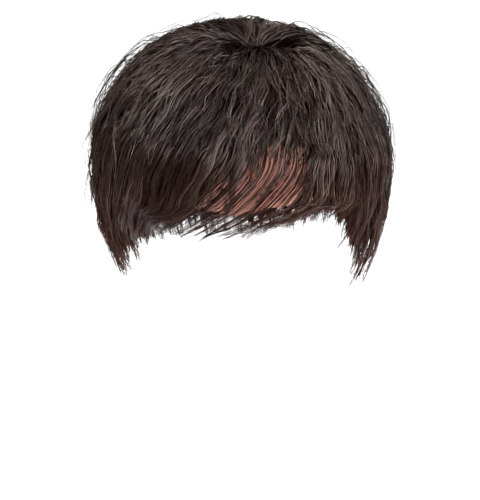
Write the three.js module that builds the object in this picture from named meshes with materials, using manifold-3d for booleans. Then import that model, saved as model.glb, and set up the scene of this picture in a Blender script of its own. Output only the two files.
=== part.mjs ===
// Short layered wig: a fitted cap that carries a crown of hair, a swept fringe, two sides and a back.
// Millimetres, +Z up. The wearer faces -Y, so the wearer's right is -X and the wearer's left is +X.
// The origin is the inside top of the cap, where it sits on the head.
import * as THREE from "three";
import { LoftGeometry } from "three/addons/geometries/LoftGeometry.js";
import { mergeVertices } from "three/addons/utils/BufferGeometryUtils.js";
import Module from "manifold-3d";

const wasm = await Module();
wasm.setup();

// Driving dimensions. A form is a dome over an ellipse: top and widest are heights,
// and roundness 2 is an ellipsoid, more than 2 is squarer at the shoulder.
const capWall = 1.2;
const rootLift = 2.4; // hair starts this far outside the cap
const head = { halfWidth: 72, halfDepth: 92, centreY: 0, top: 0, widest: -86, roundness: 2.15 };
const outline = { halfWidth: 96, halfDepth: 109, centreY: 1, top: 15.5, widest: -80, roundness: 2.25 };
const rootForm = grown(head, capWall + rootLift);

// The whorl that all hair runs out from, and the dip in the outline around it.
const whorl = { x: 9, y: -22, dip: 11, dipRadius: 20 };

// Place along a hair: 0 at the whorl, equator where it turns to hang, 1 at the hem.
const equator = 0.68;
const rootTuck = 0.09; // the hem's inner face draws in by this share of its reach

// Hem of the hair by azimuth, 0 at the front and 90 at the wearer's left.
// Tuck is the share of its reach that the outline draws in by, from equator to hem.
const hemRows = [
  { azimuth: -180, height: -147, tuck: 0.15 },
  { azimuth: -160, height: -145, tuck: 0.15 },
  { azimuth: -138, height: -141, tuck: 0.16 },
  { azimuth: -118, height: -140, tuck: 0.16 },
  { azimuth: -98, height: -141, tuck: 0.15 },
  { azimuth: -82, height: -138, tuck: 0.14 },
  { azimuth: -66, height: -112, tuck: 0.12 },
  { azimuth: -50, height: -102, tuck: 0.1 },
  { azimuth: -31, height: -103, tuck: 0.09 },
  { azimuth: -11, height: -101, tuck: 0.09 },
  { azimuth: 11, height: -96, tuck: 0.09 },
  { azimuth: 31, height: -89, tuck: 0.08 },
  { azimuth: 48, height: -92, tuck: 0.1 },
  { azimuth: 62, height: -118, tuck: 0.14 },
  { azimuth: 80, height: -144, tuck: 0.19 },
  { azimuth: 98, height: -145, tuck: 0.19 },
  { azimuth: 122, height: -139, tuck: 0.18 },
  { azimuth: 134, height: -131, tuck: 0.17 },
  { azimuth: 146, height: -127, tuck: 0.17 },
  { azimuth: 160, height: -134, tuck: 0.16 },
  { azimuth: 172, height: -142, tuck: 0.15 },
  { azimuth: 180, height: -147, tuck: 0.15 },
];

// Sideways sweep of the hair, in degrees at the hem, by the azimuth that it leaves the whorl at.
// Power is how late the sweep sets in along the hair: 1 is evenly, more is nearer the hem.
// The fringe sweeps to the wearer's right, and opens thinly over the left brow.
const sweepRows = [
  { azimuth: -180, sweep: 0, power: 1.4 },
  { azimuth: -125, sweep: -3, power: 1.4 },
  { azimuth: -90, sweep: -7, power: 1.4 },
  { azimuth: -60, sweep: -16, power: 1.4 },
  { azimuth: -40, sweep: -28, power: 1.5 },
  { azimuth: -18, sweep: -39, power: 1.7 },
  { azimuth: 6, sweep: -35, power: 2 },
  { azimuth: 22, sweep: -44, power: 2.4 },
  { azimuth: 36, sweep: -40, power: 2.6 },
  { azimuth: 46, sweep: -22, power: 2.6 },
  { azimuth: 57, sweep: -9, power: 2.2 },
  { azimuth: 72, sweep: 0, power: 1.6 },
  { azimuth: 180, sweep: 0, power: 1.4 },
];
const sweepStart = 0.12;

// Rim of the cap by azimuth about the head's own axis: hairline, temples, ears and nape.
const rimRows = [
  { azimuth: -180, height: -132 },
  { azimuth: -164, height: -127 },
  { azimuth: -146, height: -116 },
  { azimuth: -112, height: -92 },
  { azimuth: -90, height: -87 },
  { azimuth: -62, height: -76 },
  { azimuth: -36, height: -52 },
  { azimuth: 0, height: -44 },
  { azimuth: 36, height: -52 },
  { azimuth: 62, height: -76 },
  { azimuth: 90, height: -87 },
  { azimuth: 112, height: -92 },
  { azimuth: 146, height: -116 },
  { azimuth: 164, height: -125 },
  { azimuth: 180, height: -132 },
];
const nape = { drop: 51, tuck: 0.1 }; // this far below the widest level the cap draws in by this share

// Long sections of hair, by the azimuths that they leave the whorl between.
// Sheet is the place along the hair where the closed sheet at the roots ends and loose locks go on.
const sections = [
  { name: "fringe", from: -50, to: 42, locks: 13, sheet: 0.56 },
  { name: "left_side_hair", from: 42, to: 126, locks: 10, sheet: 0.84 },
  { name: "back_hair", from: 126, to: 236, locks: 11, sheet: 0.84 },
  { name: "right_side_hair", from: 236, to: 310, locks: 9, sheet: 0.84 },
];
const sectionGap = 1.1; // degrees kept free at each border of a section
const sectionStart = { sheet: 0.09, locks: 0.27 };
const lockOverlap = 1.2;
const lockLength = { shortest: 0.95, longest: 1.03 };
const lockTaper = { full: 0.3, thin: 0.4, power: 1.5 }; // shares of its length where it is full and thins
const goldenShare = 0.618034;

// Shorter top layer, all round the whorl.
const crown = { name: "crown_hair", locks: 20, start: 0.05, disc: 0.3, shortest: 0.43, longest: 0.62 };

// Depth in the hair: 0 at the roots, 1 at the outline. The crown lies over the long layer.
const longDepth = { top: 0.5, hem: 0.98, from: 0.34, to: 0.62, sheetShare: 0.72, lockFloor: 0.25 };
const crownDepth = { gap: 0.1, least: 0.05, discShare: 0.6 };

const wave = { height: 2.4, turns: 2.2, from: 0.15, to: 0.5 };

// Facets
const capAround = 36;
const capRings = 6;
const longStations = 8;
const crownStations = 6;
const sheetStations = 8;
const sheetStep = 13; // degrees
const discRings = 4;
const discAround = 18;
const mergeDistance = 1e-4;

// Cross-section of a lock, as shares of its half width and of its depth.
const lockProfile = [
  { across: -1, up: 0 },
  { across: -0.6, up: 0.76 },
  { across: 0.1, up: 1 },
  { across: 0.7, up: 0.66 },
  { across: 1, up: 0 },
];

const hairFinish = new THREE.MeshStandardMaterial({ color: 0x35271f, roughness: 0.5, metalness: 0 });
const capFinish = new THREE.MeshStandardMaterial({ color: 0xb98d73, roughness: 0.9, metalness: 0 });

function grown(form, by) {
  return {
    ...form,
    halfWidth: form.halfWidth + by,
    halfDepth: form.halfDepth + by,
    top: form.top + by,
  };
}

function mix(a, b, share) {
  return a + (b - a) * share;
}

function ease(from, to, value) {
  return THREE.MathUtils.smoothstep(value, from, to);
}

// A value between the rows of a table, by azimuth, eased from row to row.
function fromRows(rows, azimuth, column) {
  const turned = THREE.MathUtils.euclideanModulo(azimuth + 180, 360) - 180;
  const after = rows.findIndex((row, i) => i > 0 && row.azimuth >= turned);
  const [a, b] = [rows[after - 1], rows[after]];
  return mix(a[column], b[column], ease(a.azimuth, b.azimuth, turned));
}

// Horizontal direction of an azimuth.
function heading(azimuth) {
  const angle = THREE.MathUtils.degToRad(azimuth);
  return { x: Math.sin(angle), y: -Math.cos(angle) };
}

// Distance from a place inside a form's ellipse to its edge, along a direction.
function reachTo(form, place, along) {
  const wide = form.halfWidth ** 2;
  const deep = form.halfDepth ** 2;
  const y = place.y - form.centreY;
  const a = along.x ** 2 / wide + along.y ** 2 / deep;
  const b = (place.x * along.x) / wide + (y * along.y) / deep;
  const c = place.x ** 2 / wide + y ** 2 / deep - 1;
  return (Math.sqrt(b * b - a * c) - b) / a;
}

function domeHeight(form, x, y) {
  const share = Math.hypot(x / form.halfWidth, (y - form.centreY) / form.halfDepth);
  const rise = Math.max(0, 1 - share ** form.roundness) ** (1 / form.roundness);
  return form.widest + (form.top - form.widest) * rise;
}

// A point of a form on the way from the whorl to the hem: over the dome, then hanging.
function formPoint(form, azimuth, along, tuck) {
  const way = heading(azimuth);
  const reach = reachTo(form, whorl, way);
  const hang = Math.max(0, (along - equator) / (1 - equator));
  const climb = Math.sin((Math.min(along / equator, 1) * Math.PI) / 2);
  const out = reach * (climb - tuck * hang * hang);
  const x = whorl.x + way.x * out;
  const y = whorl.y + way.y * out;
  const hem = fromRows(hemRows, azimuth, "height");
  const z = hang > 0 ? mix(form.widest, hem, hang) : domeHeight(form, x, y);
  return new THREE.Vector3(x, y, z);
}

// Where a hair that leaves the whorl at an azimuth has swept and waved to.
function sweptAzimuth(azimuth, along) {
  const power = fromRows(sweepRows, azimuth, "power");
  const share = Math.max(0, (along - sweepStart) / (1 - sweepStart)) ** power;
  const swept = azimuth + fromRows(sweepRows, azimuth, "sweep") * share;
  const radius = reachTo(outline, whorl, heading(swept)) * Math.sin((Math.min(along, equator) * Math.PI) / 2);
  const phase = 2 * Math.sin(THREE.MathUtils.degToRad(2 * azimuth));
  const height = wave.height * ease(wave.from, wave.to, along);
  const shift = height * Math.sin(2 * Math.PI * wave.turns * along + phase);
  return swept + THREE.MathUtils.radToDeg(shift / Math.max(radius, whorl.dipRadius));
}

// One point of the hair, by the azimuth it leaves the whorl at, its place along and its depth.
function hairPoint(azimuth, along, depth) {
  const now = sweptAzimuth(azimuth, along);
  const root = formPoint(rootForm, now, along, rootTuck);
  const outer = formPoint(outline, now, along, fromRows(hemRows, now, "tuck"));
  const fromWhorl = Math.hypot(outer.x - whorl.x, outer.y - whorl.y);
  outer.z -= whorl.dip * Math.exp(-((fromWhorl / whorl.dipRadius) ** 2));
  return root.lerp(outer, depth);
}

// How much wider apart neighbouring hairs are at the hem than at the whorl.
function spreadAt(azimuth) {
  const side = 1;
  const ahead = azimuth + side + fromRows(sweepRows, azimuth + side, "sweep");
  const behind = azimuth - side + fromRows(sweepRows, azimuth - side, "sweep");
  return (ahead - behind) / (2 * side);
}

// Outer limit of the long layer, and the floor and top of the crown above it.
function longTop(along) {
  return mix(longDepth.top, longDepth.hem, ease(longDepth.from, longDepth.to, along));
}

function crownFloor(along) {
  return longTop(along) + crownDepth.gap;
}

function crownTop(along) {
  return Math.max(1, crownFloor(along) + crownDepth.least);
}

// A closed solid through rings of points. A ring with no width closes it to a point or an edge,
// and rings that run the other way round are turned so that the faces point outwards.
function solidThrough(rings) {
  const loft = new LoftGeometry(rings);
  const skin = new THREE.BufferGeometry();
  skin.setAttribute("position", loft.getAttribute("position"));
  skin.setIndex(loft.getIndex());
  const merged = mergeVertices(skin, mergeDistance);
  const corners = [new THREE.Vector3(), new THREE.Vector3(), new THREE.Vector3()];
  const triangles = [];
  let volume = 0;
  for (let i = 0; i < merged.index.count; i += 3) {
    const [a, b, c] = merged.index.array.subarray(i, i + 3);
    if (a === b || b === c || c === a) continue;
    triangles.push(a, b, c);
    [a, b, c].forEach((vertex, k) => corners[k].fromBufferAttribute(merged.attributes.position, vertex));
    volume += corners[0].dot(corners[1].cross(corners[2])) / 6;
  }
  if (volume < 0) triangles.reverse();
  return new wasm.Manifold(
    new wasm.Mesh({
      numProp: 3,
      vertProperties: merged.attributes.position.array,
      triVerts: Uint32Array.from(triangles),
    }),
  );
}

function meshOf(name, solid, finish) {
  const { vertProperties, triVerts } = solid.getMesh();
  const geometry = new THREE.BufferGeometry();
  geometry.setAttribute("position", new THREE.BufferAttribute(vertProperties, 3));
  geometry.setIndex(new THREE.BufferAttribute(triVerts, 1));
  geometry.computeVertexNormals();
  const mesh = new THREE.Mesh(geometry, finish.clone());
  mesh.name = name;
  return mesh;
}

// A step of 0 to 1 that differs from lock to lock and is the same each time.
function uneven(number) {
  return THREE.MathUtils.euclideanModulo(number * goldenShare, 1);
}

// A tapered lock. Floor and top are its depths in the hair, as functions of the place along it.
function lock({ azimuth, halfAngle, start, end, floor, top, stations }) {
  const rings = [];
  for (let i = 0; i <= stations; i++) {
    const share = i / stations;
    const along = mix(start, end, share);
    const thinning = ease(lockTaper.thin, 1, share) ** lockTaper.power;
    const fullness = ease(0, lockTaper.full, share) * (1 - thinning);
    const low = floor(along);
    const high = mix(low, top(along), Math.sqrt(fullness));
    rings.push(
      lockProfile.map(({ across, up }) =>
        hairPoint(azimuth + across * halfAngle * fullness, along, mix(low, high, up)),
      ),
    );
  }
  return solidThrough(rings);
}

// The closed sheet of hair that a section's locks are fused to, thinning out at both ends.
function rootSheet(section) {
  const low = section.from + sectionGap;
  const high = section.to - sectionGap;
  const steps = Math.ceil((high - low) / sheetStep);
  const rings = [];
  for (let i = 0; i <= sheetStations; i++) {
    const along = mix(sectionStart.sheet, section.sheet, i / sheetStations);
    const isEnd = i === 0 || i === sheetStations;
    const outer = isEnd ? 0 : longTop(along) * longDepth.sheetShare;
    const ring = [];
    for (let j = 0; j <= steps; j++) ring.push(hairPoint(mix(low, high, j / steps), along, 0));
    for (let j = steps; j >= 0; j--) ring.push(hairPoint(mix(low, high, j / steps), along, outer));
    rings.push(ring);
  }
  return solidThrough(rings);
}

function hairSection(section) {
  const width = section.to - section.from - 2 * sectionGap;
  const pitch = width / section.locks;
  let solid = rootSheet(section);
  for (let i = 0; i < section.locks; i++) {
    const azimuth = section.from + sectionGap + pitch * (i + 0.5);
    const isInside = i > 0 && i < section.locks - 1;
    const half = (pitch / 2) * (isInside ? lockOverlap : 1);
    const long = mix(lockLength.shortest, lockLength.longest, uneven(i + 1));
    solid = solid.add(
      lock({
        azimuth,
        halfAngle: half / Math.max(1, spreadAt(azimuth)),
        start: sectionStart.locks,
        end: long,
        floor: (along) => longTop(along) * longDepth.lockFloor,
        top: longTop,
        stations: longStations,
      }),
    );
  }
  return meshOf(section.name, solid, hairFinish);
}

// Closed disc of hair round the whorl that the crown's locks are fused to.
function crownDisc() {
  const rings = [];
  const ringAt = (along, depth) => {
    const ring = [];
    for (let j = 0; j < discAround; j++) ring.push(hairPoint((360 * j) / discAround, along, depth));
    return ring;
  };
  for (let i = 0; i <= discRings; i++) {
    const along = (crown.disc * i) / discRings;
    rings.push(ringAt(along, crownFloor(along)));
  }
  for (let i = discRings - 1; i >= 0; i--) {
    const along = (crown.disc * i) / discRings;
    rings.push(ringAt(along, mix(crownFloor(along), crownTop(along), crownDepth.discShare)));
  }
  return solidThrough(rings);
}

function crownHair() {
  const pitch = 360 / crown.locks;
  let solid = crownDisc();
  for (let i = 0; i < crown.locks; i++) {
    solid = solid.add(
      lock({
        azimuth: pitch * (i + 0.5 * uneven(i)),
        halfAngle: (pitch / 2) * lockOverlap,
        start: crown.start,
        end: mix(crown.shortest, crown.longest, uneven(3 * i + 1)),
        floor: crownFloor,
        top: crownTop,
        stations: crownStations,
      }),
    );
  }
  return meshOf(crown.name, solid, hairFinish);
}

// A point of the cap's wall: up the head from its rim at 1 to its top at 0.
function capPoint(form, azimuth, along) {
  const way = heading(azimuth);
  const reach = reachTo(form, { x: 0, y: 0 }, way);
  const rim = fromRows(rimRows, azimuth, "height");
  const dome = form.top - form.widest;
  const power = 2 / form.roundness;
  const rimRise = Math.max(0, (rim - form.widest) / dome);
  const rimAngle = Math.acos(rimRise ** (1 / power));
  const below = Math.max(0, form.widest - rim);
  const domeShare = dome / (dome + below);
  const angle = rimAngle * Math.min(1, along / domeShare);
  const drop = below * Math.max(0, (along - domeShare) / (1 - domeShare || 1));
  const out = reach * (Math.sin(angle) ** power - nape.tuck * (drop / nape.drop) ** 2);
  const z = form.widest + dome * Math.cos(angle) ** power - drop;
  return new THREE.Vector3(way.x * out, way.y * out, z);
}

// Fitted cap, open below for the head.
function cap() {
  const outside = grown(head, capWall);
  const rings = [];
  const ringOf = (form, along) => {
    const ring = [];
    for (let j = 0; j < capAround; j++) ring.push(capPoint(form, (360 * j) / capAround, along));
    return ring;
  };
  for (let i = 0; i <= capRings; i++) rings.push(ringOf(head, i / capRings));
  for (let i = capRings; i >= 0; i--) rings.push(ringOf(outside, i / capRings));
  return meshOf("cap", solidThrough(rings), capFinish);
}

const wig = new THREE.Group();
wig.add(cap(), crownHair(), ...sections.map(hairSection));

export default wig;
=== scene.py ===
import math

import bpy
import numpy as np
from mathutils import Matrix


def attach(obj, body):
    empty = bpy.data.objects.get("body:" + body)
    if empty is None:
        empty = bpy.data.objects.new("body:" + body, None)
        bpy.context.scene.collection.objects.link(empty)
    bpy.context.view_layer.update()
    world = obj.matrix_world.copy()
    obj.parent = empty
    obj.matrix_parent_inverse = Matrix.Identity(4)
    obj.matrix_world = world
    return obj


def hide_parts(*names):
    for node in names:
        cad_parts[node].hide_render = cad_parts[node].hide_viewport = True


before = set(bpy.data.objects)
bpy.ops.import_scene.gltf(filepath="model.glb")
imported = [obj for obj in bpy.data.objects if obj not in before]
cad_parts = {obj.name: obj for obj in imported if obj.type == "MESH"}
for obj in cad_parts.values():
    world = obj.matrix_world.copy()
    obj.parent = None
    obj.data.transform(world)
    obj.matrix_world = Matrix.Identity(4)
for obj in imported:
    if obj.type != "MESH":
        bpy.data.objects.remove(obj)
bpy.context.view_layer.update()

mm = 0.001

# the forms the hair lies between, in mm: the inside of the cap and the outline of the hair
capForm = {"halfWidth": 72, "halfDepth": 92, "centreY": 0, "top": 0, "widest": -86, "roundness": 2.15}
outlineForm = {"halfWidth": 96, "halfDepth": 109, "centreY": 1, "top": 15.5, "widest": -80, "roundness": 2.25}
capWall = 1.2
rootLift = 2.4
whorl = {"x": 9, "y": -22, "dip": 11, "dipRadius": 20}
equator = 0.68  # place along a hair where it turns to hang, 0 at the whorl and 1 at the hem
rootTuck = 0.09

# azimuth, height of the hem, share the outline draws in by
hemRows = np.array([
    (-180, -147, 0.15),
    (-160, -145, 0.15),
    (-138, -141, 0.16),
    (-118, -140, 0.16),
    (-98, -141, 0.15),
    (-82, -138, 0.14),
    (-66, -112, 0.12),
    (-50, -102, 0.10),
    (-31, -103, 0.09),
    (-11, -101, 0.09),
    (11, -96, 0.09),
    (31, -89, 0.08),
    (48, -92, 0.10),
    (62, -118, 0.14),
    (80, -144, 0.19),
    (98, -145, 0.19),
    (122, -139, 0.18),
    (134, -131, 0.17),
    (146, -127, 0.17),
    (160, -134, 0.16),
    (172, -142, 0.15),
    (180, -147, 0.15),
])

# azimuth at the whorl, sideways sweep in degrees at the hem, power it sets in with along the hair
sweepRows = np.array([
    (-180, 0, 1.4),
    (-125, -3, 1.4),
    (-90, -7, 1.4),
    (-60, -16, 1.4),
    (-40, -28, 1.5),
    (-18, -39, 1.7),
    (6, -35, 2.0),
    (22, -44, 2.4),
    (36, -40, 2.6),
    (46, -22, 2.6),
    (57, -9, 2.2),
    (72, 0, 1.6),
    (180, 0, 1.4),
])
sweepStart = 0.12


def grown(form, by):
    bigger = dict(form)
    for key in ("halfWidth", "halfDepth", "top"):
        bigger[key] = form[key] + by
    return bigger


rootForm = grown(capForm, capWall + rootLift)


def ease(low, high, value):
    share = np.clip((np.asarray(value, float) - low) / (high - low), 0, 1)
    return share * share * (3 - 2 * share)


def mix(a, b, share):
    return a + (b - a) * share


def fromRows(rows, azimuth, column=1):
    turned = (np.asarray(azimuth, float) + 180) % 360 - 180
    after = np.clip(np.searchsorted(rows[:, 0], turned), 1, len(rows) - 1)
    low, high = rows[after - 1], rows[after]
    return mix(low[..., column], high[..., column], ease(low[..., 0], high[..., 0], turned))


def heading(azimuth):
    angle = np.radians(azimuth)
    return np.sin(angle), -np.cos(angle)


def reachTo(form, x, y, wayX, wayY):
    wide, deep = form["halfWidth"] ** 2, form["halfDepth"] ** 2
    y = y - form["centreY"]
    a = wayX ** 2 / wide + wayY ** 2 / deep
    b = x * wayX / wide + y * wayY / deep
    c = x ** 2 / wide + y ** 2 / deep - 1
    return (np.sqrt(b * b - a * c) - b) / a


def domeHeight(form, x, y):
    share = np.hypot(x / form["halfWidth"], (y - form["centreY"]) / form["halfDepth"])
    rise = np.maximum(0, 1 - share ** form["roundness"]) ** (1 / form["roundness"])
    return form["widest"] + (form["top"] - form["widest"]) * rise


def formPoint(form, azimuth, along, tuck):
    wayX, wayY = heading(azimuth)
    reach = reachTo(form, whorl["x"], whorl["y"], wayX, wayY)
    hang = np.maximum(0, (along - equator) / (1 - equator))
    climb = np.sin(np.minimum(along / equator, 1) * np.pi / 2)
    out = reach * (climb - tuck * hang * hang)
    x = whorl["x"] + wayX * out
    y = whorl["y"] + wayY * out
    hem = fromRows(hemRows, azimuth)
    z = np.where(hang > 0, mix(form["widest"], hem, hang), domeHeight(form, x, y))
    return np.stack([x, y, z], -1)


# one point of the hair by the azimuth it leaves the whorl at, its place along and its depth
def hairPoint(azimuth, along, depth):
    azimuth, along, depth = np.broadcast_arrays(*(np.asarray(v, float) for v in (azimuth, along, depth)))
    share = np.maximum(0, (along - sweepStart) / (1 - sweepStart)) ** fromRows(sweepRows, azimuth, 2)
    now = azimuth + fromRows(sweepRows, azimuth) * share
    root = formPoint(rootForm, now, along, rootTuck)
    outer = formPoint(outlineForm, now, along, fromRows(hemRows, now, 2))
    fromWhorl = np.hypot(outer[..., 0] - whorl["x"], outer[..., 1] - whorl["y"])
    outer[..., 2] -= whorl["dip"] * np.exp(-((fromWhorl / whorl["dipRadius"]) ** 2))
    return root + (outer - root) * depth[..., None]


# azimuth, tone shift near the whorl: painted shade where below 0, painted highlight where above 0
whorlPaintedLightRows = np.array([
    (-180, 0.5),
    (-130, 0.0),
    (-56, 0.0),
    (-30, -0.8),
    (8, -0.8),
    (26, -0.1),
    (56, -0.9),
    (112, -0.9),
    (126, 0.0),
    (144, 0.5),
    (180, 0.5),
])
whorlPaintedLightFade = (0.11, 0.22)  # along the hair, where that fades out


# painted shade at the roots in front of the whorl and in the hollow beside it, painted highlight on the fan
# behind it
def whorlPaintedLight(azimuth, along):
    return fromRows(whorlPaintedLightRows, azimuth) * (1 - ease(*whorlPaintedLightFade, along))


# limits of the layers in depth, from 0 at the roots to 1 at the outline
layers = {
    "longTop": (0.45, 0.88),  # of the long hair, under the crown and below it
    "longRise": (0.34, 0.62),  # along the hair, where it goes from one to the other
    "gap": 0.02,
    "crownTop": 0.8,
    "crownLeast": 0.05,
}


def flat(along):
    return 0 * along


def longTop(along):
    return mix(*layers["longTop"], ease(*layers["longRise"], along))


def crownFloor(along):
    return longTop(along) + layers["gap"]


def crownTop(along):
    return np.maximum(layers["crownTop"], crownFloor(along) + layers["crownLeast"])


def outermost(along):
    return 1 + flat(along)


def newMesh(name, verts, faces, material):
    mesh = bpy.data.meshes.new(name)
    mesh.from_pydata([tuple(v) for v in verts], [], faces)
    mesh.materials.append(material)
    mesh.validate()
    mesh.update()
    made = bpy.data.objects.new(name, mesh)
    bpy.context.collection.objects.link(made)
    return made


def wire(tree, node, wires):
    for socket, value in wires.items():
        if isinstance(value, bpy.types.NodeSocket):
            tree.links.new(value, node.inputs[socket])
        else:
            node.inputs[socket].default_value = value
    return node


def addNode(tree, kind, wires, **settings):
    made = tree.nodes.new(kind)
    for key, value in settings.items():
        setattr(made, key, value)
    return wire(tree, made, wires)


def colourMix(tree, share, first, second, how="MIX"):
    wires = {0: share, 6: first, 7: second}  # 6, 7 and 2 are the sockets for colours
    return addNode(tree, "ShaderNodeMix", wires, data_type="RGBA", blend_type=how).outputs[2]


def newMaterial(name):
    made = bpy.data.materials.new(name)
    made.use_nodes = True
    return made, made.node_tree, made.node_tree.nodes["Principled BSDF"]


# hair finish: the UV map carries each strand's tone across and the place along it up
hairLook = {
    "dark": (0.0024, 0.0012, 0.0009, 1),
    "middle": (0.0070, 0.0036, 0.0026, 1),
    "light": (0.034, 0.018, 0.0125, 1),
    "low": (0.019, 0.0046, 0.0026, 1),  # what the lower hair turns towards
    "lowShare": 0.75,
    "lowHeights": (-0.035, -0.125),
    "rootShade": 0.55,  # painted shade: roots darker than lengths
    "rootShadeEnd": 0.35,
    "roughness": 0.3,
    "specular": (0.0, 0.75),  # dullest and brightest strand
    "gleam": (1.0, 0.87, 0.83, 1),
    # painted shade: dimmer, redder highlights on the lower hair
    "lowGleam": (0.72, 0.33, 0.28, 1),
}


def makeHairMaterial():
    made, tree, shader = newMaterial("darkBrownHair")

    def ranged(value, limits, **settings):
        return addNode(tree, "ShaderNodeMapRange", dict(limits, Value=value), **settings).outputs[0]

    uv = addNode(tree, "ShaderNodeUVMap", {}, uv_map="OFBake").outputs[0]
    strand = addNode(tree, "ShaderNodeSeparateXYZ", {0: uv}).outputs
    tone = addNode(tree, "ShaderNodeValToRGB", {0: strand["X"]})
    ramp = tone.color_ramp
    ramp.elements[0].color = hairLook["dark"]
    ramp.elements[1].color = hairLook["light"]
    ramp.elements.new(0.5).color = hairLook["middle"]
    dullest, brightest = hairLook["specular"]
    shine = ranged(strand["X"], {"To Min": dullest, "To Max": brightest})
    # painted shade: darkens the root end of each strand
    rootShade = ranged(strand["Y"], {"From Max": hairLook["rootShadeEnd"], "To Min": hairLook["rootShade"]})
    shaded = colourMix(tree, 1, tone.outputs[0], rootShade, "MULTIPLY")
    place = addNode(tree, "ShaderNodeTexCoord", {}).outputs["Object"]
    height = addNode(tree, "ShaderNodeSeparateXYZ", {0: place}).outputs["Z"]
    # by height: the lower hair turns redder, with painted shade in dimmer highlights
    upper, lower = hairLook["lowHeights"]
    low = ranged(height, {"From Min": upper, "From Max": lower, "To Max": hairLook["lowShare"]},
                 interpolation_type="SMOOTHSTEP")
    wire(tree, shader, {
        "Base Color": colourMix(tree, low, shaded, hairLook["low"]),
        "Roughness": hairLook["roughness"],
        "Specular IOR Level": shine,
        "Specular Tint": colourMix(tree, low, hairLook["gleam"], hairLook["lowGleam"]),
    })
    return made


hairMaterial = makeHairMaterial()
print("hair finish made")

# strand tree: guides in, closed strands out
strandShape = {
    "sides": 3,
    "pace": 0.04,  # how much quicker or slower than its lock's a strand's wave may be
    "phase": 0.35,  # how far it may be out of step, in radians
    "waveStart": (0.03, 0.4),  # along the strand, where the wave sets in
    "waveOut": 0.7,  # height of the wave outwards, as a share of that across
    "wanderSteps": (3.0, 7.31, 0.37),  # through the noise: along a strand, from strand to strand, by seed
    "wanderPower": 1.3,
    "taperStart": 0.55,
    "tip": 0.3,
    "thickness": 0.35,  # how much thicker or thinner than the rest a strand may be
    "bands": 7.0,  # turn of the tone from the middle of a lock to its edge, in radians
    "bandTone": 0.5,
}
strandSizes = [
    ("Strands", "NodeSocketInt", 12),
    ("Strand Radius", "NodeSocketFloat", 0.00025),
    ("Wave Height", "NodeSocketFloat", 0.0012),
    ("Wave Length", "NodeSocketFloat", 0.03),
    ("Frizz", "NodeSocketFloat", 0.002),
    ("Shortest", "NodeSocketFloat", 0.8),
    ("Tone Spread", "NodeSocketFloat", 0.25),
    ("Seed", "NodeSocketInt", 1),
    ("Finish", "NodeSocketMaterial", None),
]


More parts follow.
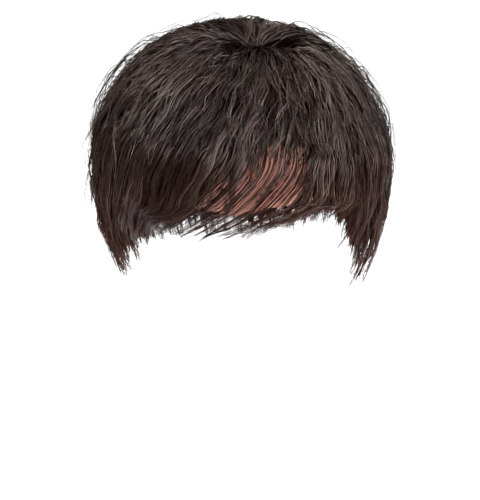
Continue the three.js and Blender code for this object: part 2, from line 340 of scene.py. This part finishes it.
def makeStrandTree():
    tree = bpy.data.node_groups.new("hairStrands", "GeometryNodeTree")
    sockets = tree.interface
    sockets.new_socket("Guides", in_out="INPUT", socket_type="NodeSocketGeometry")
    for name, kind, value in strandSizes:
        socket = sockets.new_socket(name, in_out="INPUT", socket_type=kind)
        if value is not None:
            socket.default_value = value
    sockets.new_socket("Hair", in_out="OUTPUT", socket_type="NodeSocketGeometry")
    given = tree.nodes.new("NodeGroupInput").outputs
    result = tree.nodes.new("NodeGroupOutput").inputs

    def add(kind, wires, **settings):
        return addNode(tree, kind, wires, **settings)

    def maths(how, a, b=0.0, c=0.0):
        return add("ShaderNodeMath", {0: a, 1: b, 2: c}, operation=how).outputs[0]

    def times(a, b):
        return maths("MULTIPLY", a, b)

    def scaled(vector, by):
        return add("ShaderNodeVectorMath", {0: vector, "Scale": by}, operation="SCALE").outputs[0]

    def summed(a, b):
        return add("ShaderNodeVectorMath", {0: a, 1: b}, operation="ADD").outputs[0]

    def ranged(value, limits, **settings):
        return add("ShaderNodeMapRange", dict(limits, Value=value), **settings).outputs[0]

    def named(name, kind="FLOAT"):
        return add("GeometryNodeInputNamedAttribute", {"Name": name}, data_type=kind).outputs[0]

    def store(geometry, name, value, kind, domain):
        wires = {"Geometry": geometry, "Name": name, "Value": value}
        return add("GeometryNodeStoreNamedAttribute", wires, data_type=kind, domain=domain).outputs[0]

    curves = add("GeometryNodeMeshToCurve", {"Mesh": given["Guides"]}).outputs[0]
    wires = {"Geometry": curves, "Amount": given["Strands"]}
    copies = add("GeometryNodeDuplicateElements", wires, domain="SPLINE").outputs["Geometry"]
    strand = add("GeometryNodeCurveOfPoint", {}).outputs["Curve Index"]

    def chance(step):  # three numbers from -1 to 1 for each strand
        seed = maths("ADD", given["Seed"], float(step))
        wires = {0: (-1, -1, -1), 1: (1, 1, 1), "ID": strand, "Seed": seed}
        node = add("FunctionNodeRandomValue", wires, data_type="FLOAT_VECTOR")
        return add("ShaderNodeSeparateXYZ", {0: node.outputs[0]}).outputs

    place, swing, finish = chance(0), chance(100), chance(200)
    across, outward = named("across", "FLOAT_VECTOR"), named("outward", "FLOAT_VECTOR")
    along = named("along")
    spline = add("GeometryNodeSplineParameter", {}).outputs

    # place in the lock
    sideways = scaled(across, times(place["X"], named("lockWidth")))
    inOut = scaled(outward, times(place["Y"], named("lockDepth")))

    # wave that the strands of a lock share, with a little of each strand's own
    pace = maths("MULTIPLY_ADD", swing["X"], strandShape["pace"], 1.0)
    turn = times(maths("DIVIDE", spline["Length"], given["Wave Length"]), times(pace, math.tau))
    phase = maths("ADD", turn, maths("ADD", named("phase"), times(swing["Y"], strandShape["phase"])))
    waveFrom, waveTo = strandShape["waveStart"]
    ramp = ranged(along, {"From Min": waveFrom, "From Max": waveTo}, interpolation_type="SMOOTHSTEP")
    height = times(times(given["Wave Height"], named("waveScale")), ramp)
    waveAcross = scaled(across, times(maths("SINE", phase), height))
    waveOut = scaled(outward, times(maths("COSINE", phase), times(height, strandShape["waveOut"])))

    # wander of each strand by itself
    alongStep, strandStep, seedStep = strandShape["wanderSteps"]
    wires = {0: times(along, alongStep), 1: times(strand, strandStep), 2: times(given["Seed"], seedStep)}
    where = add("ShaderNodeCombineXYZ", wires).outputs[0]
    noise = add("ShaderNodeTexNoise", {"Vector": where, "Scale": 1.0, "Detail": 1.0})
    wander = summed(noise.outputs["Color"], (-0.5, -0.5, -0.5))
    wander = scaled(wander, times(given["Frizz"], maths("POWER", along, strandShape["wanderPower"])))

    # ends and thickness
    offset = summed(summed(sideways, inOut), summed(summed(waveAcross, waveOut), wander))
    moved = add("GeometryNodeSetPosition", {"Geometry": copies, "Offset": offset}).outputs[0]
    ends = ranged(finish["X"], {"From Min": -1.0, "To Min": given["Shortest"]})
    cut = add("GeometryNodeTrimCurve", {0: moved, 3: ends}, mode="FACTOR").outputs[0]
    limits = {"From Min": strandShape["taperStart"], "To Min": 1.0, "To Max": strandShape["tip"]}
    taper = ranged(spline["Factor"], limits)
    thick = maths("MULTIPLY_ADD", finish["Z"], strandShape["thickness"], 1.0)
    radius = times(times(given["Strand Radius"], thick), taper)

    # tone, by bands in a lock and by strand
    band = maths("SINE", maths("ADD", times(place["X"], strandShape["bands"]), named("phase")))
    varied = maths("ADD", times(band, strandShape["bandTone"]), finish["Y"])
    tone = maths("ADD", named("tone"), times(varied, given["Tone Spread"]))
    toned = store(cut, "strandTone", tone, "FLOAT", "POINT")

    wires = {"Resolution": strandShape["sides"], "Radius": 1.0}
    ring = add("GeometryNodeCurvePrimitiveCircle", wires, mode="RADIUS").outputs[0]
    wires = {"Curve": toned, "Profile Curve": ring, "Scale": radius, "Fill Caps": True}
    tubes = add("GeometryNodeCurveToMesh", wires).outputs[0]
    uv = add("ShaderNodeCombineXYZ", {0: named("strandTone"), 1: along}).outputs[0]
    mapped = store(tubes, "OFBake", uv, "FLOAT2", "CORNER")
    smooth = add("GeometryNodeSetShadeSmooth", {0: mapped}).outputs[0]
    whole = add("GeometryNodeRealizeInstances", {0: smooth}).outputs[0]
    done = add("GeometryNodeSetMaterial", {"Geometry": whole, "Material": given["Finish"]}).outputs[0]
    tree.links.new(done, result["Hair"])
    return tree


strandTree = makeStrandTree()
print("strand tree made")

# guides: one polyline for each lock, with the lock's size, frame and tone at each point
guideShape = {
    "driftPower": 1.5,
    "arcPlaces": (0.56, 0.74),  # along the hair, where locks with an arc bend aside
    "outStep": 0.1,  # step in depth that shows which way is out
    "flickPower": 4,
    "jitterEnd": 0.3,
    "filling": (-0.15, 0.3),  # along the lock, where it fills out
    "gatherStart": 0.45,
    "thickest": 0.6,  # as a share of its width
}


def unit(vectors):
    return vectors / np.linalg.norm(vectors, axis=-1, keepdims=True)


def guideMesh(name, locks, points):
    share = np.linspace(0, 1, points)[None, :]
    along = mix(locks["start"][:, None], locks["end"][:, None], share)
    floor = locks["floor"](along)
    depth = floor + (locks["top"](along) - floor) * locks["level"][:, None]
    depth = depth * ease(0, locks["rise"][:, None], share)
    azimuth = locks["azimuth"][:, None] + locks["drift"][:, None] * share ** guideShape["driftPower"]
    azimuth = azimuth + locks["arc"][:, None] * ease(*guideShape["arcPlaces"], along)
    at = hairPoint(azimuth, along, depth)
    out = unit(hairPoint(azimuth, along, depth + guideShape["outStep"]) - at)
    way = unit(np.gradient(at, axis=1))
    across = unit(np.cross(way, out))
    out = np.cross(across, way)
    at = at + out * (locks["flick"][:, None] * share ** guideShape["flickPower"])[..., None]
    at[..., :2] += locks["jitter"][:, None, :] * (1 - ease(0.0, guideShape["jitterEnd"], along))[..., None]
    gathered = locks["gather"] * ease(guideShape["gatherStart"], 1, share)
    fullness = ease(*guideShape["filling"], share) * (1 - gathered)
    radius = np.hypot(at[..., 0] - whorl["x"], at[..., 1] - whorl["y"])
    width = np.minimum(locks["width"][:, None], np.radians(locks["halfAngle"])[:, None] * radius) * fullness
    thick = np.minimum(locks["thick"][:, None], guideShape["thickest"] * width)
    count = len(locks["azimuth"])
    first = np.arange(count * points).reshape(count, points)
    edges = np.stack([first[:, :-1].ravel(), first[:, 1:].ravel()], -1)
    mesh = bpy.data.meshes.new(name)
    mesh.from_pydata((at * mm).reshape(-1, 3), edges, [])
    values = {
        "along": along * 0 + share,
        "lockWidth": width * mm,
        "lockDepth": thick * fullness * mm,
        "phase": locks["phase"][:, None] + 0 * along,
        "waveScale": locks["waveScale"][:, None] + 0 * along,
        # painted shade and painted highlight near the whorl, added to each lock's tone
        "tone": locks["tone"][:, None] + whorlPaintedLight(azimuth, along),
    }
    for key, value in values.items():
        mesh.attributes.new(key, "FLOAT", "POINT").data.foreach_set("value", value.ravel())
    for key, value in (("across", across), ("outward", out)):
        mesh.attributes.new(key, "FLOAT_VECTOR", "POINT").data.foreach_set("vector", value.ravel())
    made = bpy.data.objects.new(name, mesh)
    bpy.context.collection.objects.link(made)
    return made


spentAttributes = ("across", "outward", "along", "lockWidth", "lockDepth", "phase", "waveScale", "tone",
                   "strandTone")


def strandPiece(name, guides, sizes):
    modifier = guides.modifiers.new("strands", "NODES")
    modifier.node_group = strandTree
    inputs = dict(sizes, Finish=hairMaterial)
    for item in strandTree.interface.items_tree:
        if item.in_out == "INPUT" and item.name in inputs:
            modifier[item.identifier] = inputs[item.name]
    evaluated = guides.evaluated_get(bpy.context.evaluated_depsgraph_get())
    mesh = bpy.data.meshes.new_from_object(evaluated)
    mesh.name = name
    for attribute in list(mesh.attributes):
        if attribute.name in spentAttributes:
            mesh.attributes.remove(attribute)
    spent = guides.data
    bpy.data.objects.remove(guides)
    bpy.data.meshes.remove(spent)
    made = bpy.data.objects.new(name, mesh)
    bpy.context.collection.objects.link(made)
    mesh.calc_loop_triangles()
    print(name, len(mesh.loop_triangles), "triangles")
    return made


def wear(piece, node):
    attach(piece, "root")
    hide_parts(node)
    return piece


# locks: how those of one piece differ
lockSpread = {
    "shortest": 0.25,  # along the hair
    "arcStart": (-14, 4),  # azimuths between which the arc sets in
    "widths": (0.6, 1.4),
    "waves": (0.3, 1.6),
    "tone": 0.12,
    "toneLimits": (0.05, 0.95),
}
hollow = {"from": (36, 56), "to": (112, 124), "start": 0.09, "rise": 0.3}  # the bare place beside the whorl


def within(zone, azimuth):
    return ease(*zone["from"], azimuth) * (1 - ease(*zone["to"], azimuth))


def evenly(rng, low, high, count):  # one in each equal step, in a mixed order
    return low + (high - low) * (rng.permutation(count) + rng.random(count)) / count


def spreadLocks(rng, piece):
    count, look, layer = piece["locks"], piece["look"], piece.get("layer")
    azimuth = evenly(rng, *piece["azimuths"], count)
    end = mix(*piece["ends"], rng.random(count) ** piece.get("fewLong", 1))
    if layer:  # where most of the hair is cut short
        isShort = rng.random(count) < layer["share"] * within(layer, azimuth)
        cut = np.interp(azimuth, *layer["cuts"]) + layer["ragged"] * rng.uniform(-1, 1, count)
        end = np.where(isShort, np.minimum(end, cut), end)
    start = rng.uniform(*piece["starts"], count)
    rise = np.full(count, look["rise"])
    if "hollow" in piece:
        inside = within(piece["hollow"], azimuth)
        start = np.maximum(start, piece["hollow"]["start"] * inside)
        end = np.maximum(end, start + lockSpread["shortest"])
        rise = mix(rise, piece["hollow"]["rise"], inside)
    return {
        "azimuth": azimuth,
        "start": np.minimum(start, end - lockSpread["shortest"]),
        "end": end,
        "level": evenly(rng, *piece["levels"], count),
        "drift": rng.normal(0, look["drift"], count),
        "flick": rng.normal(0, look["flick"], count),
        "arc": look.get("arc", 0) * ease(*lockSpread["arcStart"], azimuth),
        "width": rng.uniform(*lockSpread["widths"], count) * look["width"],
        "thick": np.full(count, look["thick"]),
        "halfAngle": np.full(count, look["halfAngle"]),
        "phase": rng.uniform(0, math.tau, count),
        "waveScale": rng.uniform(*lockSpread["waves"], count),
        "jitter": rng.normal(0, look["jitter"], (count, 2)),
        "tone": np.clip(rng.normal(look["tone"], lockSpread["tone"], count), *lockSpread["toneLimits"]),
        "gather": look["gather"],
        "rise": rise,
        "floor": look["floor"],
        "top": look["top"],
    }


def withSection(group, section):
    piece = dict(group, **section)
    for key in ("look", "sizes"):
        piece[key] = dict(group[key], **section.get(key, {}))
    return piece


def growSections(group):
    for section in group["sections"]:
        piece = withSection(group, section)
        locks = spreadLocks(np.random.default_rng(piece["seed"]), piece)
        guides = guideMesh(piece["name"] + "Guides", locks, piece["points"])
        made = strandPiece(piece["name"], guides, dict(piece["sizes"], Seed=piece["seed"]))
        wear(made, piece["node"])


# crown: the top layer in a front and a back half
crown = {
    "points": 15,
    "locks": 150,
    "starts": (0.012, 0.2),
    "hollow": hollow,
    "ends": (0.42, 0.82),
    "fewLong": 1.8,  # power that makes the longest locks few
    "layer": {"from": (-14, 0), "to": (28, 42), "share": 0.85, "ragged": 0.06,
              "cuts": ((-12, 30), (0.56, 0.5))},
    "levels": (0.0, 1.0),
    "look": {"tone": 0.2, "drift": 6.0, "flick": 1.2, "width": 2.6, "thick": 1.2, "halfAngle": 5,
             "gather": 0.8, "rise": 0.04, "jitter": 3.0, "floor": crownFloor, "top": crownTop},
    "sizes": {"Strands": 10, "Strand Radius": 0.00022, "Wave Height": 0.0018, "Wave Length": 0.027,
              "Frizz": 0.003, "Shortest": 0.75, "Tone Spread": 0.44},
    "sections": [
        {"name": "crown_hair_front", "node": "crown_hair", "azimuths": (-90, 90), "seed": 14},
        {"name": "crown_hair_back", "node": "crown_hair", "azimuths": (90, 270), "seed": 15},
    ],
}
growSections(crown)

# loose hair on the crown: the tufts round the whorl and single light hairs over the rest as painted
# highlights
looseHair = {
    "points": 15,
    "look": {"thick": 1.2, "halfAngle": 9, "floor": crownFloor, "top": crownTop},
    "sizes": {},
    "sections": [
        {"name": "crown_hair_tufts", "node": "crown_hair", "azimuths": (132, 384), "locks": 54, "seed": 19,
         "starts": (0.02, 0.1), "ends": (0.28, 0.45), "levels": (0.7, 1.2),
         "look": {"tone": 0.38, "drift": 24.0, "flick": 2.0, "width": 1.8,
                  "gather": 0.8, "rise": 0.25, "jitter": 4.0},
         "sizes": {"Strands": 6, "Strand Radius": 0.00024, "Wave Height": 0.0022, "Wave Length": 0.02,
                   "Frizz": 0.006, "Shortest": 0.6, "Tone Spread": 0.44}},
        # painted highlights: light-toned thin hairs standing in for fine glints on the crown
        {"name": "crown_hair_fine", "node": "crown_hair", "azimuths": (-180, 180), "locks": 110, "seed": 20,
         "starts": (0.06, 0.3), "ends": (0.45, 0.72), "levels": (0.85, 1.1),
         "look": {"tone": 0.75, "drift": 8.0, "flick": 1.0, "width": 5.0, "thick": 0.8,
                  "gather": 0.3, "rise": 0.1, "jitter": 3.0},
         "sizes": {"Strands": 4, "Strand Radius": 0.00018, "Wave Height": 0.0016, "Wave Length": 0.03,
                   "Frizz": 0.004, "Shortest": 0.7, "Tone Spread": 0.3}},
    ],
}
growSections(looseHair)

# long sections, by the azimuths that they leave the whorl between
longHair = {
    "points": 18,
    "starts": (0.3, 0.5),
    "look": {"tone": 0.42, "drift": 4.0, "flick": 1.0, "width": 2.8, "thick": 1.3, "halfAngle": 5,
             "gather": 0.8, "rise": 0.18, "jitter": 1.0, "floor": flat, "top": longTop},
    "sizes": {"Strands": 10, "Strand Radius": 0.00022, "Wave Height": 0.0012, "Wave Length": 0.028,
              "Frizz": 0.003, "Shortest": 0.9, "Tone Spread": 0.44},
    "sections": [
        {"name": "fringe_strands", "node": "fringe", "azimuths": (-50, 42), "locks": 140, "seed": 21,
         "levels": (0.2, 1.0), "ends": (0.97, 1.04), "sizes": {"Shortest": 0.95},
         "layer": {"from": (-17, -10), "to": (26, 44), "share": 0.98, "ragged": 0.05,
                   "cuts": ((-13, -9, -5, 3, 14), (1.0, 0.86, 0.72, 0.57, 0.52))}},
        {"name": "left_side_hair_strands", "node": "left_side_hair", "azimuths": (42, 126), "locks": 120,
         "seed": 22, "levels": (0.15, 1.2), "ends": (0.86, 1.05)},
        {"name": "back_hair_strands", "node": "back_hair", "azimuths": (126, 236), "locks": 145, "seed": 23,
         "levels": (0.3, 1.0), "ends": (0.98, 1.02), "look": {"gather": 0.2},
         "sizes": {"Shortest": 0.95, "Strand Radius": 0.00026}},
        {"name": "right_side_hair_strands", "node": "right_side_hair", "azimuths": (236, 310), "locks": 115,
         "seed": 24, "levels": (0.35, 1.0), "ends": (0.9, 1.05)},
    ],
}
growSections(longHair)

# veil: the thin sweep that one side of the fringe ends in: a few close locks and fine loose hairs
veil = {
    "points": 25,
    "starts": (0.3, 0.5),
    "look": {"tone": 0.12, "arc": -12, "drift": 3.0, "flick": 0.6, "width": 1.0, "thick": 0.6, "halfAngle": 5,
             "gather": 0.8, "rise": 0.2, "jitter": 0.0, "floor": flat, "top": longTop},
    "sizes": {"Strands": 14, "Strand Radius": 0.00017, "Wave Height": 0.0004, "Wave Length": 0.04,
              "Frizz": 0.0014, "Shortest": 0.92, "Tone Spread": 0.3},
    "sections": [
        {"name": "fringe_veil", "node": "fringe", "azimuths": (-4, 44), "locks": 7, "seed": 41,
         "ends": (0.98, 1.07), "levels": (0.3, 0.85)},
        {"name": "fringe_wisps", "node": "fringe", "azimuths": (-12, 46), "locks": 44, "seed": 42,
         "points": 18, "ends": (0.6, 1.07), "fewLong": 3.0, "levels": (0.1, 0.8),
         "look": {"width": 3.5, "tone": 0.14},
         "sizes": {"Strands": 5, "Strand Radius": 0.00013, "Frizz": 0.003, "Shortest": 0.75}},
        {"name": "fringe_hem", "node": "fringe", "azimuths": (-44, 38), "locks": 36, "seed": 43,
         "ends": (1.0, 1.06), "levels": (0.3, 0.7), "look": {"width": 2.2}, "sizes": {"Strands": 7}},
    ],
}
growSections(veil)

# flyaways: single hairs that stand off the outline
flyaways = {
    "points": 17,
    "starts": (0.15, 0.6),
    "ends": (0.6, 1.0),
    "levels": (0.95, 1.16),
    "look": {"tone": 0.42, "drift": 14.0, "flick": 4.0, "width": 1.0, "thick": 1.0, "halfAngle": 5,
             "gather": 0.8, "rise": 0.2, "jitter": 2.0, "floor": flat, "top": outermost},
    "sizes": {"Strands": 2, "Strand Radius": 0.00014, "Wave Height": 0.002, "Wave Length": 0.045,
              "Frizz": 0.012, "Shortest": 0.6, "Tone Spread": 0.3},
    "sections": [
        {"name": "crown_hair_flyaways", "node": "crown_hair", "azimuths": (-180, 180), "locks": 60,
         "seed": 51, "starts": (0.02, 0.4), "ends": (0.3, 0.75)},
        {"name": "left_side_hair_flyaways", "node": "left_side_hair", "azimuths": (50, 126), "locks": 34,
         "seed": 52},
        {"name": "back_hair_flyaways", "node": "back_hair", "azimuths": (126, 236), "locks": 40, "seed": 53},
        {"name": "right_side_hair_flyaways", "node": "right_side_hair", "azimuths": (236, 300), "locks": 34,
         "seed": 54},
    ],
}
growSections(flyaways)

# combed hair at the roots under the strands, with a ragged edge, toned dark as painted shade in the gaps
# between strands
underHair = {
    "pitch": 0.8,  # degrees from ridge to ridge
    "rows": 16,
    "seed": 31,
    "start": 0.09,
    "lift": 0.02,
    "depth": 0.34,
    "fullDepth": 0.5,  # top of the long layer where a section is as deep as that
    "thinnest": 0.02,
    "ridge": 0.045,
    "swell": 0.12,  # share of its length where it is full, and where it thins out again
    "thinning": 0.75,
    "bareShare": 0.9,  # what the bare place beside the whorl takes away
    "bareEnd": (0.1, 0.22),
    # painted shade: dark tone so the sheet reads as shadow between strands
    "tone": 0.08,
    "toneSpread": 0.1,
    "crown": {"start": 0.004, "end": 0.38, "ragged": 0.06, "rise": 0.3, "share": 0.5},
    "endRows": np.array([  # azimuth, place along the hair where they end, how ragged
        (-180, 0.93, 0.05),
        (-158, 0.92, 0.05),
        (-130, 0.86, 0.06),
        (-24, 0.88, 0.06),
        (-12, 0.68, 0.05),
        (-6, 0.57, 0.05),
        (6, 0.47, 0.05),
        (30, 0.46, 0.05),
        (48, 0.84, 0.06),
        (130, 0.86, 0.06),
        (158, 0.92, 0.05),
        (180, 0.93, 0.05),
    ]),
    "sections": {"fringe": (-50, 42), "left_side_hair": (42, 126), "back_hair": (126, 236),
                 "right_side_hair": (236, 310), "crown_hair": (-180, 180)},
}


def sheetFaces(columns, rows, isRound):  # of a closed sheet whose lower points follow its upper ones
    shift = columns * rows
    faces = []
    for i in range(columns if isRound else columns - 1):
        a, b = i * rows, (i + 1) % columns * rows
        for j in range(rows - 1):
            faces.append((a + j, a + j + 1, b + j + 1, b + j))
            faces.append((shift + a + j, shift + b + j, shift + b + j + 1, shift + a + j + 1))
        faces.append((a, b, shift + b, shift + a))
        faces.append((a + rows - 1, shift + a + rows - 1, shift + b + rows - 1, b + rows - 1))
    if not isRound:
        last = (columns - 1) * rows
        for j in range(rows - 1):
            faces.append((j, shift + j, shift + j + 1, j + 1))
            faces.append((last + j, last + j + 1, shift + last + j + 1, shift + last + j))
    return faces


def setUv(piece, uv):
    layer = piece.data.uv_layers.new(name="OFBake")
    corners = np.zeros(len(piece.data.loops), np.int32)
    piece.data.loops.foreach_get("vertex_index", corners)
    layer.uv.foreach_set("vector", uv[corners].ravel())


def makeUnderHair():
    onCrown, rows = underHair["crown"], underHair["rows"]
    share = np.linspace(0, 1, rows)[None, :]
    swell = ease(0, underHair["swell"], share) * (1 - ease(underHair["thinning"], 1, share))
    for number, (name, (low, high)) in enumerate(underHair["sections"].items()):
        rng = np.random.default_rng(underHair["seed"] + number)
        isCrown = name == "crown_hair"
        columns = int((high - low) / underHair["pitch"])
        azimuth = np.linspace(low, high, columns, endpoint=not isCrown)[:, None]
        end = onCrown["end"] if isCrown else fromRows(underHair["endRows"], azimuth)
        ragged = onCrown["ragged"] if isCrown else fromRows(underHair["endRows"], azimuth, 2)
        end = end + ragged * rng.uniform(-1, 1, columns)[:, None]
        along = mix(onCrown["start"] if isCrown else underHair["start"], end, share)
        ridge = underHair["ridge"] * (np.arange(columns) % 2 + rng.random(columns) - 1)[:, None]
        if isCrown:
            base = crownFloor(along) * ease(0, onCrown["rise"], share)
            fullness = onCrown["share"]
        else:
            base = underHair["lift"] + flat(along)
            fullness = longTop(along) / underHair["fullDepth"]
        top = (underHair["depth"] + ridge) * swell * fullness
        bare = within(hollow, azimuth) * (1 - ease(*underHair["bareEnd"], along))
        left = 1 - underHair["bareShare"] * bare
        lower = hairPoint(azimuth, along, base * left)
        upper = hairPoint(azimuth, along, base * left + np.maximum(top * left, underHair["thinnest"] * swell))
        verts = np.concatenate([upper.reshape(-1, 3), lower.reshape(-1, 3)]) * mm
        piece = newMesh(name + "_roots", verts, sheetFaces(columns, rows, isCrown), hairMaterial)
        # painted shade of the root sheet, plus the painted light near the whorl
        tone = rng.normal(underHair["tone"], underHair["toneSpread"], columns)[:, None]
        tone = np.clip(tone + whorlPaintedLight(azimuth, along), 0, 1)
        setUv(piece, np.stack([np.tile(tone.ravel(), 2), np.tile((share + 0 * along).ravel(), 2)], -1))
        wear(piece, name)
    print("roots made")


makeUnderHair()

# cap: a thin net wall with a bound rim
capPiece = {
    "around": 96,
    "rings": 22,
    "rimRows": np.array([  # azimuth, height of the rim
        (-180, -132),
        (-164, -127),
        (-146, -116),
        (-112, -92),
        (-90, -87),
        (-62, -76),
        (-36, -52),
        (0, -44),
        (36, -52),
        (62, -76),
        (90, -87),
        (112, -92),
        (146, -116),
        (164, -125),
        (180, -132),
    ]),
    "napeDrop": 51,
    "napeTuck": 0.1,
    "bandWidth": 0.06,  # share of the way up from the rim
    "bandBlend": 1.4,  # where the band is level with the net, in its own widths
    "bandThickness": 0.7,
    "net": (0.38, 0.165, 0.12, 1),
    "thread": (0.5, 0.245, 0.185, 1),
    "cell": 420,
    "threadWidth": 0.16,
    "bumpStrength": 0.35,
    "bumpDistance": 0.0003,
    "finish": {"Roughness": 0.85, "Specular IOR Level": 0.2, "Sheen Weight": 0.15},
}


def capPoint(form, azimuth, along):
    wayX, wayY = heading(azimuth)
    reach = reachTo(form, 0, 0, wayX, wayY)
    dome = form["top"] - form["widest"]
    power = 2 / form["roundness"]
    rim = fromRows(capPiece["rimRows"], azimuth)
    rimAngle = np.arccos(np.maximum(0, (rim - form["widest"]) / dome) ** (1 / power))
    below = np.maximum(0, form["widest"] - rim)
    domeShare = dome / (dome + below)
    angle = rimAngle * np.minimum(1, along / domeShare)
    drop = below * np.maximum(0, (along - domeShare) / np.maximum(1 - domeShare, 1e-9))
    out = reach * (np.sin(angle) ** power - capPiece["napeTuck"] * (drop / capPiece["napeDrop"]) ** 2)
    z = form["widest"] + dome * np.cos(angle) ** power - drop
    return np.stack([wayX * out, wayY * out, z], -1)


def makeCapMaterial():
    made, tree, shader = newMaterial("capNet")
    place = addNode(tree, "ShaderNodeTexCoord", {}).outputs["Object"]
    wires = {"Vector": place, "Scale": capPiece["cell"]}
    cells = addNode(tree, "ShaderNodeTexVoronoi", wires, feature="DISTANCE_TO_EDGE")
    wires = {"Value": cells.outputs["Distance"], "From Max": capPiece["threadWidth"]}
    line = addNode(tree, "ShaderNodeMapRange", wires).outputs[0]
    wires = {"Strength": capPiece["bumpStrength"], "Distance": capPiece["bumpDistance"], "Height": line}
    bump = addNode(tree, "ShaderNodeBump", wires, invert=True)
    colour = colourMix(tree, line, capPiece["thread"], capPiece["net"])
    wire(tree, shader, dict(capPiece["finish"], Normal=bump.outputs[0]))
    wire(tree, shader, {"Base Color": colour})
    return made


def makeCap():
    around, rings = capPiece["around"], capPiece["rings"]
    azimuth = np.linspace(0, 360, around, endpoint=False)[:, None]
    along = np.linspace(0, 1, rings)[None, 1:]
    bandWidth = capPiece["bandWidth"]
    band = ease(1 - bandWidth * capPiece["bandBlend"], 1 - bandWidth, along) * capPiece["bandThickness"]
    inner = capPoint(capForm, azimuth, along)
    wall = capPoint(grown(capForm, capWall), azimuth, along) - inner
    outer = inner + wall * (1 + band / capWall)[..., None]
    rows = rings - 1
    verts = [(0, 0, 0), (0, 0, capWall)]
    verts = np.concatenate([verts, inner.reshape(-1, 3), outer.reshape(-1, 3)]) * mm
    shift = around * rows
    faces = []
    for i in range(around):
        a, b = 2 + i * rows, 2 + (i + 1) % around * rows
        faces.append((0, b, a))
        faces.append((1, a + shift, b + shift))
        for j in range(rows - 1):
            faces.append((a + j, b + j, b + j + 1, a + j + 1))
            faces.append((a + j + shift, a + j + 1 + shift, b + j + 1 + shift, b + j + shift))
        faces.append((a + rows - 1, b + rows - 1, b + rows - 1 + shift, a + rows - 1 + shift))
    piece = newMesh("cap_net", verts, faces, makeCapMaterial())
    for polygon in piece.data.polygons:
        polygon.use_smooth = True
    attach(piece, "root")
    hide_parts("cap")
    print("cap made")


makeCap()

# camera, light and floor
studio = {
    "aim": (0, 0, -0.133),
    "distance": 1.2,
    "elevation": 15,
    "lens": 135,
    "floor": -0.9,
    "floorHalf": 30,
    "floorFinish": {"Base Color": (0.93, 0.93, 0.93, 1), "Roughness": 0.9, "Specular IOR Level": 0.0},
    "world": {"Color": (1, 1, 1, 1), "Strength": 0.28},
    "lamps": [
        {"name": "keyLamp", "place": (-1.0, -1.5, 1.3), "aim": (0, 0, -0.1),
         "size": 1.2, "spread": 180, "power": 135},
        {"name": "fillLamp", "place": (1.2, -1.4, 0.7), "aim": (0, 0, -0.1),
         "size": 1.2, "spread": 180, "power": 120},
        {"name": "topLamp", "place": (0.1, 0.3, 2.0), "aim": (0, 0, -0.1),
         "size": 1.5, "spread": 180, "power": 45},
        {"name": "floorLamp", "place": (0, 4.5, 0.4), "aim": (0, 4.5, -0.9),
         "size": 7.0, "spread": 80, "power": 150},
    ],
}


def makeStudio():
    scene = bpy.context.scene
    scene.view_settings.view_transform = "Standard"
    aim = np.array(studio["aim"])
    angle = math.radians(studio["elevation"])
    camera = bpy.data.objects.new("camera", bpy.data.cameras.new("camera"))
    camera.data.lens = studio["lens"]
    camera.location = aim + studio["distance"] * np.array([0, -math.cos(angle), math.sin(angle)])
    camera.rotation_euler = (math.pi / 2 - angle, 0, 0)
    bpy.context.collection.objects.link(camera)
    scene.camera = camera
    for lamp in studio["lamps"]:
        light = bpy.data.lights.new(lamp["name"], "AREA")
        light.size = lamp["size"]
        light.energy = lamp["power"]
        light.spread = math.radians(lamp["spread"])
        holder = bpy.data.objects.new(lamp["name"], light)
        holder.location = lamp["place"]
        away = np.array(lamp["place"]) - np.array(lamp["aim"])
        tilt = math.atan2(math.hypot(away[0], away[1]), away[2])
        holder.rotation_euler = (tilt, 0, math.atan2(away[0], -away[1]))
        bpy.context.collection.objects.link(holder)
    scene.world = bpy.data.worlds.new("softStudio")
    scene.world.use_nodes = True
    sky = scene.world.node_tree
    wire(sky, sky.nodes["Background"], studio["world"])
    pale, tree, shader = newMaterial("paleFloor")
    wire(tree, shader, studio["floorFinish"])
    half, level = studio["floorHalf"], studio["floor"]
    corners = [(-half, -half, level), (half, -half, level), (half, half, level), (-half, half, level)]
    newMesh("floor", corners, [(0, 1, 2, 3)], pale)
    print("studio made")


makeStudio()

bpy.context.view_layer.update()
